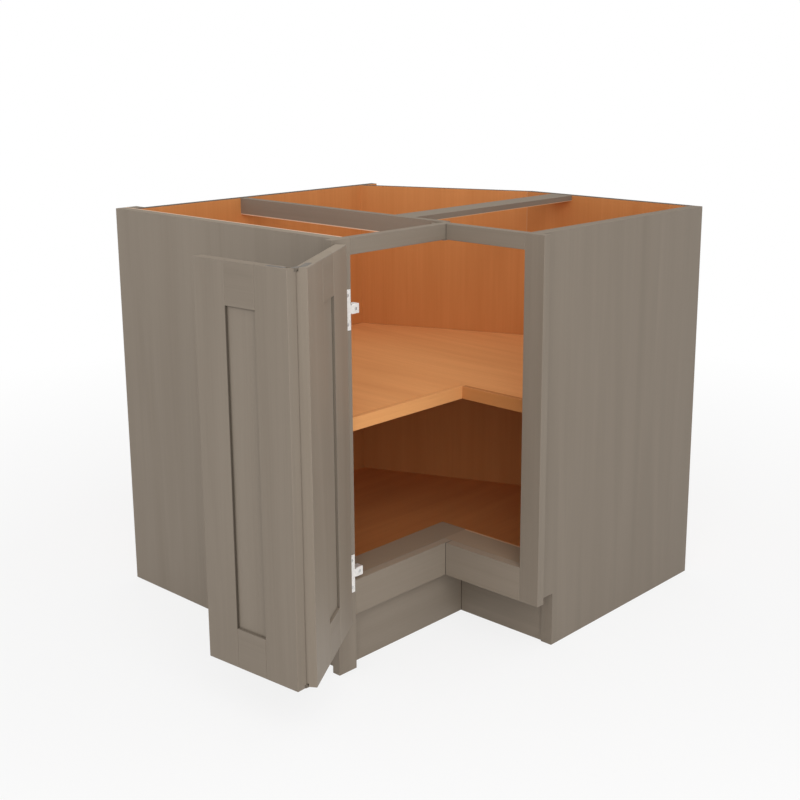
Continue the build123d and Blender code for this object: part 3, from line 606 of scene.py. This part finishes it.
for leaf, at, run, panel_us, stiles, tones, shade in (
        ("a", pin_at, leaf_a_run, A_PANEL_US, ("hinge", "fold"), A_PAINTED_LIGHT, A_SHADE),
        ("b", fold_at, leaf_b_run, B_PANEL_US, ("fold", "free"), B_PAINTED_SHADE, B_SHADE)):
    for stile, tone in zip(stiles, tones):
        stile_paint = leaf_paint("paint_" + leaf + "_" + stile, at, run, True, panel_us, False, tone, shade)
        dress(stile_paint, leaf + "_" + stile + "_stile")
    rail_paint = leaf_paint("paint_rails_" + leaf, at, run, False, panel_us, False, tones[2], shade / 2)
    panel_paint = leaf_paint("paint_panel_" + leaf, at, run, True, panel_us, True, tones[2], shade / 2)
    dress(rail_paint, leaf + "_top_rail", leaf + "_bottom_rail")
    dress(panel_paint, leaf + "_panel")

# Fold hinges
# Bronze-plated knife hinges let into the top and bottom edges of the leaves, each arm held by two screws.
bronze = plated("bronze_plate", srgb(112, 102, 90), srgb(96, 87, 76), 0.5, 0.6, metal=0.25)
dress(bronze, "upper_arm_a", "lower_arm_a", "upper_arm_b", "lower_arm_b", "fold_pins")
ARM_A_SCREW_US = (0.2515, 0.2285)
ARM_A_SCREW_V = -0.002
ARM_B_SCREW_US = (0.022, 0.045)
ARM_B_SCREW_V = 0.011
for node, body, axes, spots, across in (
        ("arm_a_screws", "leaf_a", leaf_a_axes, ARM_A_SCREW_US, ARM_A_SCREW_V),
        ("arm_b_screws", "leaf_b", leaf_b_axes, ARM_B_SCREW_US, ARM_B_SCREW_V)):
    arm_places = []
    for along in spots:
        arm_places.append(axes @ screw_place((along, across, DOOR_TOP), (0, 0, 1)))
        arm_places.append(axes @ screw_place((along, across, DOOR_BOTTOM), (0, 0, -1)))
    screw_set(node, bronze, body, "bronze", arm_places)

# Studio
# A pale floor that fades to white away from the cabinet, an even surround that is a little brighter at eye
# level than overhead, and one soft lamp beside the camera.
WHITE = (1.0, 1.0, 1.0, 1.0)
FLOOR_HALF = 20
FLOOR_COLOUR = (0.9, 0.9, 0.9, 1.0)
FLOOR_ROUGH = 0.9
FLOOR_MIDDLE = (0.5, -0.5, 0.0)
FLOOR_NEAR = 1.0
FLOOR_FAR = 2.6
WHITE_NEAR = 0.8
mesh = bpy.data.meshes.new("studio_floor")
plane = bmesh.new()
bmesh.ops.create_grid(plane, x_segments=1, y_segments=1, size=FLOOR_HALF)
plane.to_mesh(mesh)
plane.free()
floor = bpy.data.objects.new("studio_floor", mesh)
bpy.context.collection.objects.link(floor)


def seen_rays(tree):
    """One for rays that show the background: from the camera, off metal and through glass."""
    path = add(tree, "ShaderNodeLightPath")
    seen = sum_of(tree, "MAXIMUM", path.outputs["Is Camera Ray"], path.outputs["Is Glossy Ray"])
    return sum_of(tree, "MAXIMUM", seen, path.outputs["Is Transmission Ray"])


pale, tree, shader, coords = new_finish("pale_floor")
shader.inputs["Base Color"].default_value = FLOOR_COLOUR
shader.inputs["Roughness"].default_value = FLOOR_ROUGH
distance = add(tree, "ShaderNodeVectorMath", {0: coords, 1: FLOOR_MIDDLE}, operation="DISTANCE")
share = between(tree, distance.outputs["Value"], FLOOR_NEAR, FLOOR_FAR, WHITE_NEAR, 1.0)
share = sum_of(tree, "MULTIPLY", share, seen_rays(tree))
white = add(tree, "ShaderNodeEmission", {"Color": WHITE, "Strength": 1.0}).outputs[0]
blend = add(tree, "ShaderNodeMixShader", {0: share, 1: shader.outputs[0], 2: white})
tree.links.new(blend.outputs[0], tree.nodes["Material Output"].inputs["Surface"])
mesh.materials.append(pale)

EYE_LEVEL_LIGHT = 0.74
OVERHEAD_LIGHT = 0.6
OVERHEAD_FROM = 0.9
world = bpy.data.worlds.new("studio")
bpy.context.scene.world = world
world.use_nodes = True
tree = world.node_tree
way = add(tree, "ShaderNodeTexCoord").outputs["Generated"]
rise = add(tree, "ShaderNodeSeparateXYZ", {"Vector": way}).outputs["Z"]
level = between(tree, rise, 0.0, OVERHEAD_FROM, EYE_LEVEL_LIGHT, OVERHEAD_LIGHT)
dim = add(tree, "ShaderNodeBackground", {"Color": WHITE, "Strength": level}).outputs[0]
bright = add(tree, "ShaderNodeBackground", {"Color": WHITE, "Strength": 1.0}).outputs[0]
blend = add(tree, "ShaderNodeMixShader", {0: seen_rays(tree), 1: dim, 2: bright})
tree.links.new(blend.outputs[0], tree.nodes["World Output"].inputs["Surface"])

LAMP_AT = Vector((2.65, -2.3, 1.7))
LAMP_AIM = Vector((0.55, -0.5, 0.45))
LAMP_SIZE = 2.4
LAMP_WATTS = 43
lamp = bpy.data.lights.new("front_box", "AREA")
lamp.size = LAMP_SIZE
lamp.energy = LAMP_WATTS
holder = bpy.data.objects.new("front_box", lamp)
holder.location = LAMP_AT
holder.rotation_euler = (LAMP_AIM - LAMP_AT).to_track_quat("-Z", "Y").to_euler()
bpy.context.collection.objects.link(holder)

# Camera
# The photograph's own view, found from its vanishing points, with the shift that its crop needs.
CAMERA_AT = (2.4199, -2.5221, 1.2151)
CAMERA_TILT = math.radians(76.554)
CAMERA_TURN = math.radians(42.079)
lens = bpy.data.cameras.new("camera")
lens.sensor_width = 36.0
lens.lens = 57.33
lens.shift_x = -0.0459
lens.shift_y = -0.0554
lens.clip_end = 100.0
camera = bpy.data.objects.new("camera", lens)
camera.location = CAMERA_AT
camera.rotation_euler = (CAMERA_TILT, 0.0, CAMERA_TURN)
bpy.context.collection.objects.link(camera)
bpy.context.scene.camera = camera
bpy.context.scene.view_settings.view_transform = "Standard"
